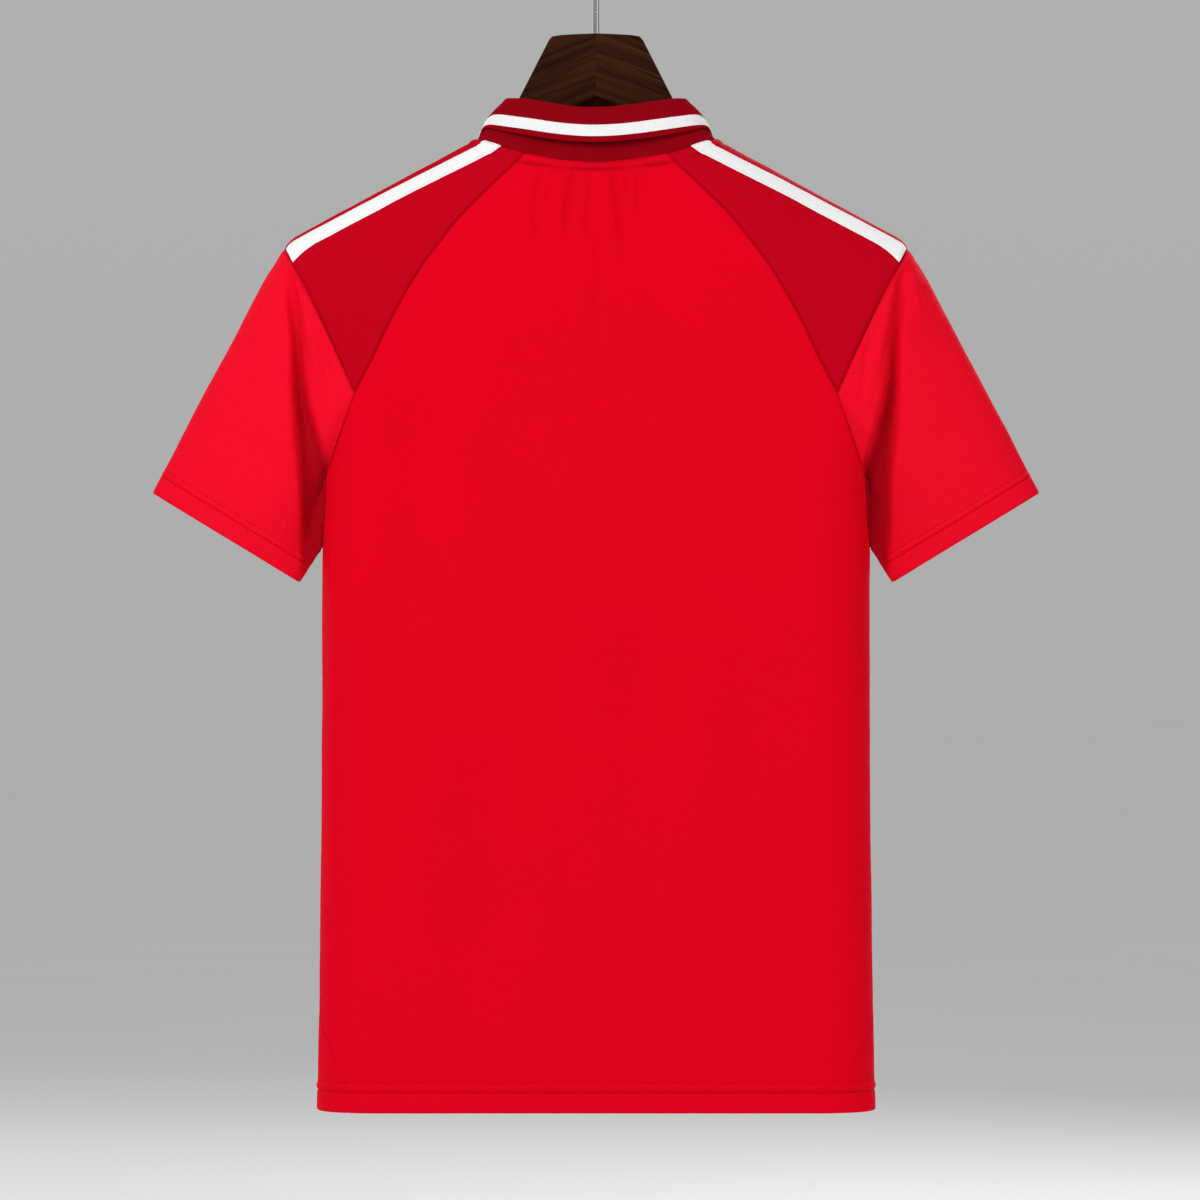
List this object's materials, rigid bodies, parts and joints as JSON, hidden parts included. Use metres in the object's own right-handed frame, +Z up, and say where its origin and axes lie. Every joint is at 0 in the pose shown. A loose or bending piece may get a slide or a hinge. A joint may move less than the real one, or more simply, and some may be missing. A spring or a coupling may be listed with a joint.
{
  "type": "training polo shirt on a wooden clothes hanger",
  "caption": "Short-sleeved training polo shirt with ribbed collar, darker shoulder panels and white shoulder tapes, hanging on a wooden hanger with a wire hook.",
  "frame": {"origin": "the point inside the hook's bend that rests on a rail", "axes": "+Z up, +Y towards the wearer's back, +X towards the wearer's left"},
  "size_m": [0.6592, 0.0819, 0.8746],
  "materials": {
    "red_jersey": "satin",
    "dark_jersey": "satin",
    "rib_knit": "matte",
    "white_tape": "satin",
    "button_red": "gloss",
    "walnut": "satin",
    "chrome_wire": "polished"
  },
  "bodies": {
    "root": {"back_panel": "red_jersey", "front_panel": "red_jersey", "shoulder_panel_left": "dark_jersey", "shoulder_panel_right": "dark_jersey", "shoulder_stripe_left": "white_tape", "shoulder_stripe_right": "white_tape", "sleeve_left": "red_jersey", "sleeve_right": "red_jersey", "collar": "rib_knit", "placket_over": "red_jersey", "placket_under": "red_jersey", "button_top": "button_red", "button_middle": "button_red", "button_low": "button_red", "hanger_left": "walnut", "hanger_right": "walnut", "hook": "chrome_wire"}
  },
  "joints": []
}
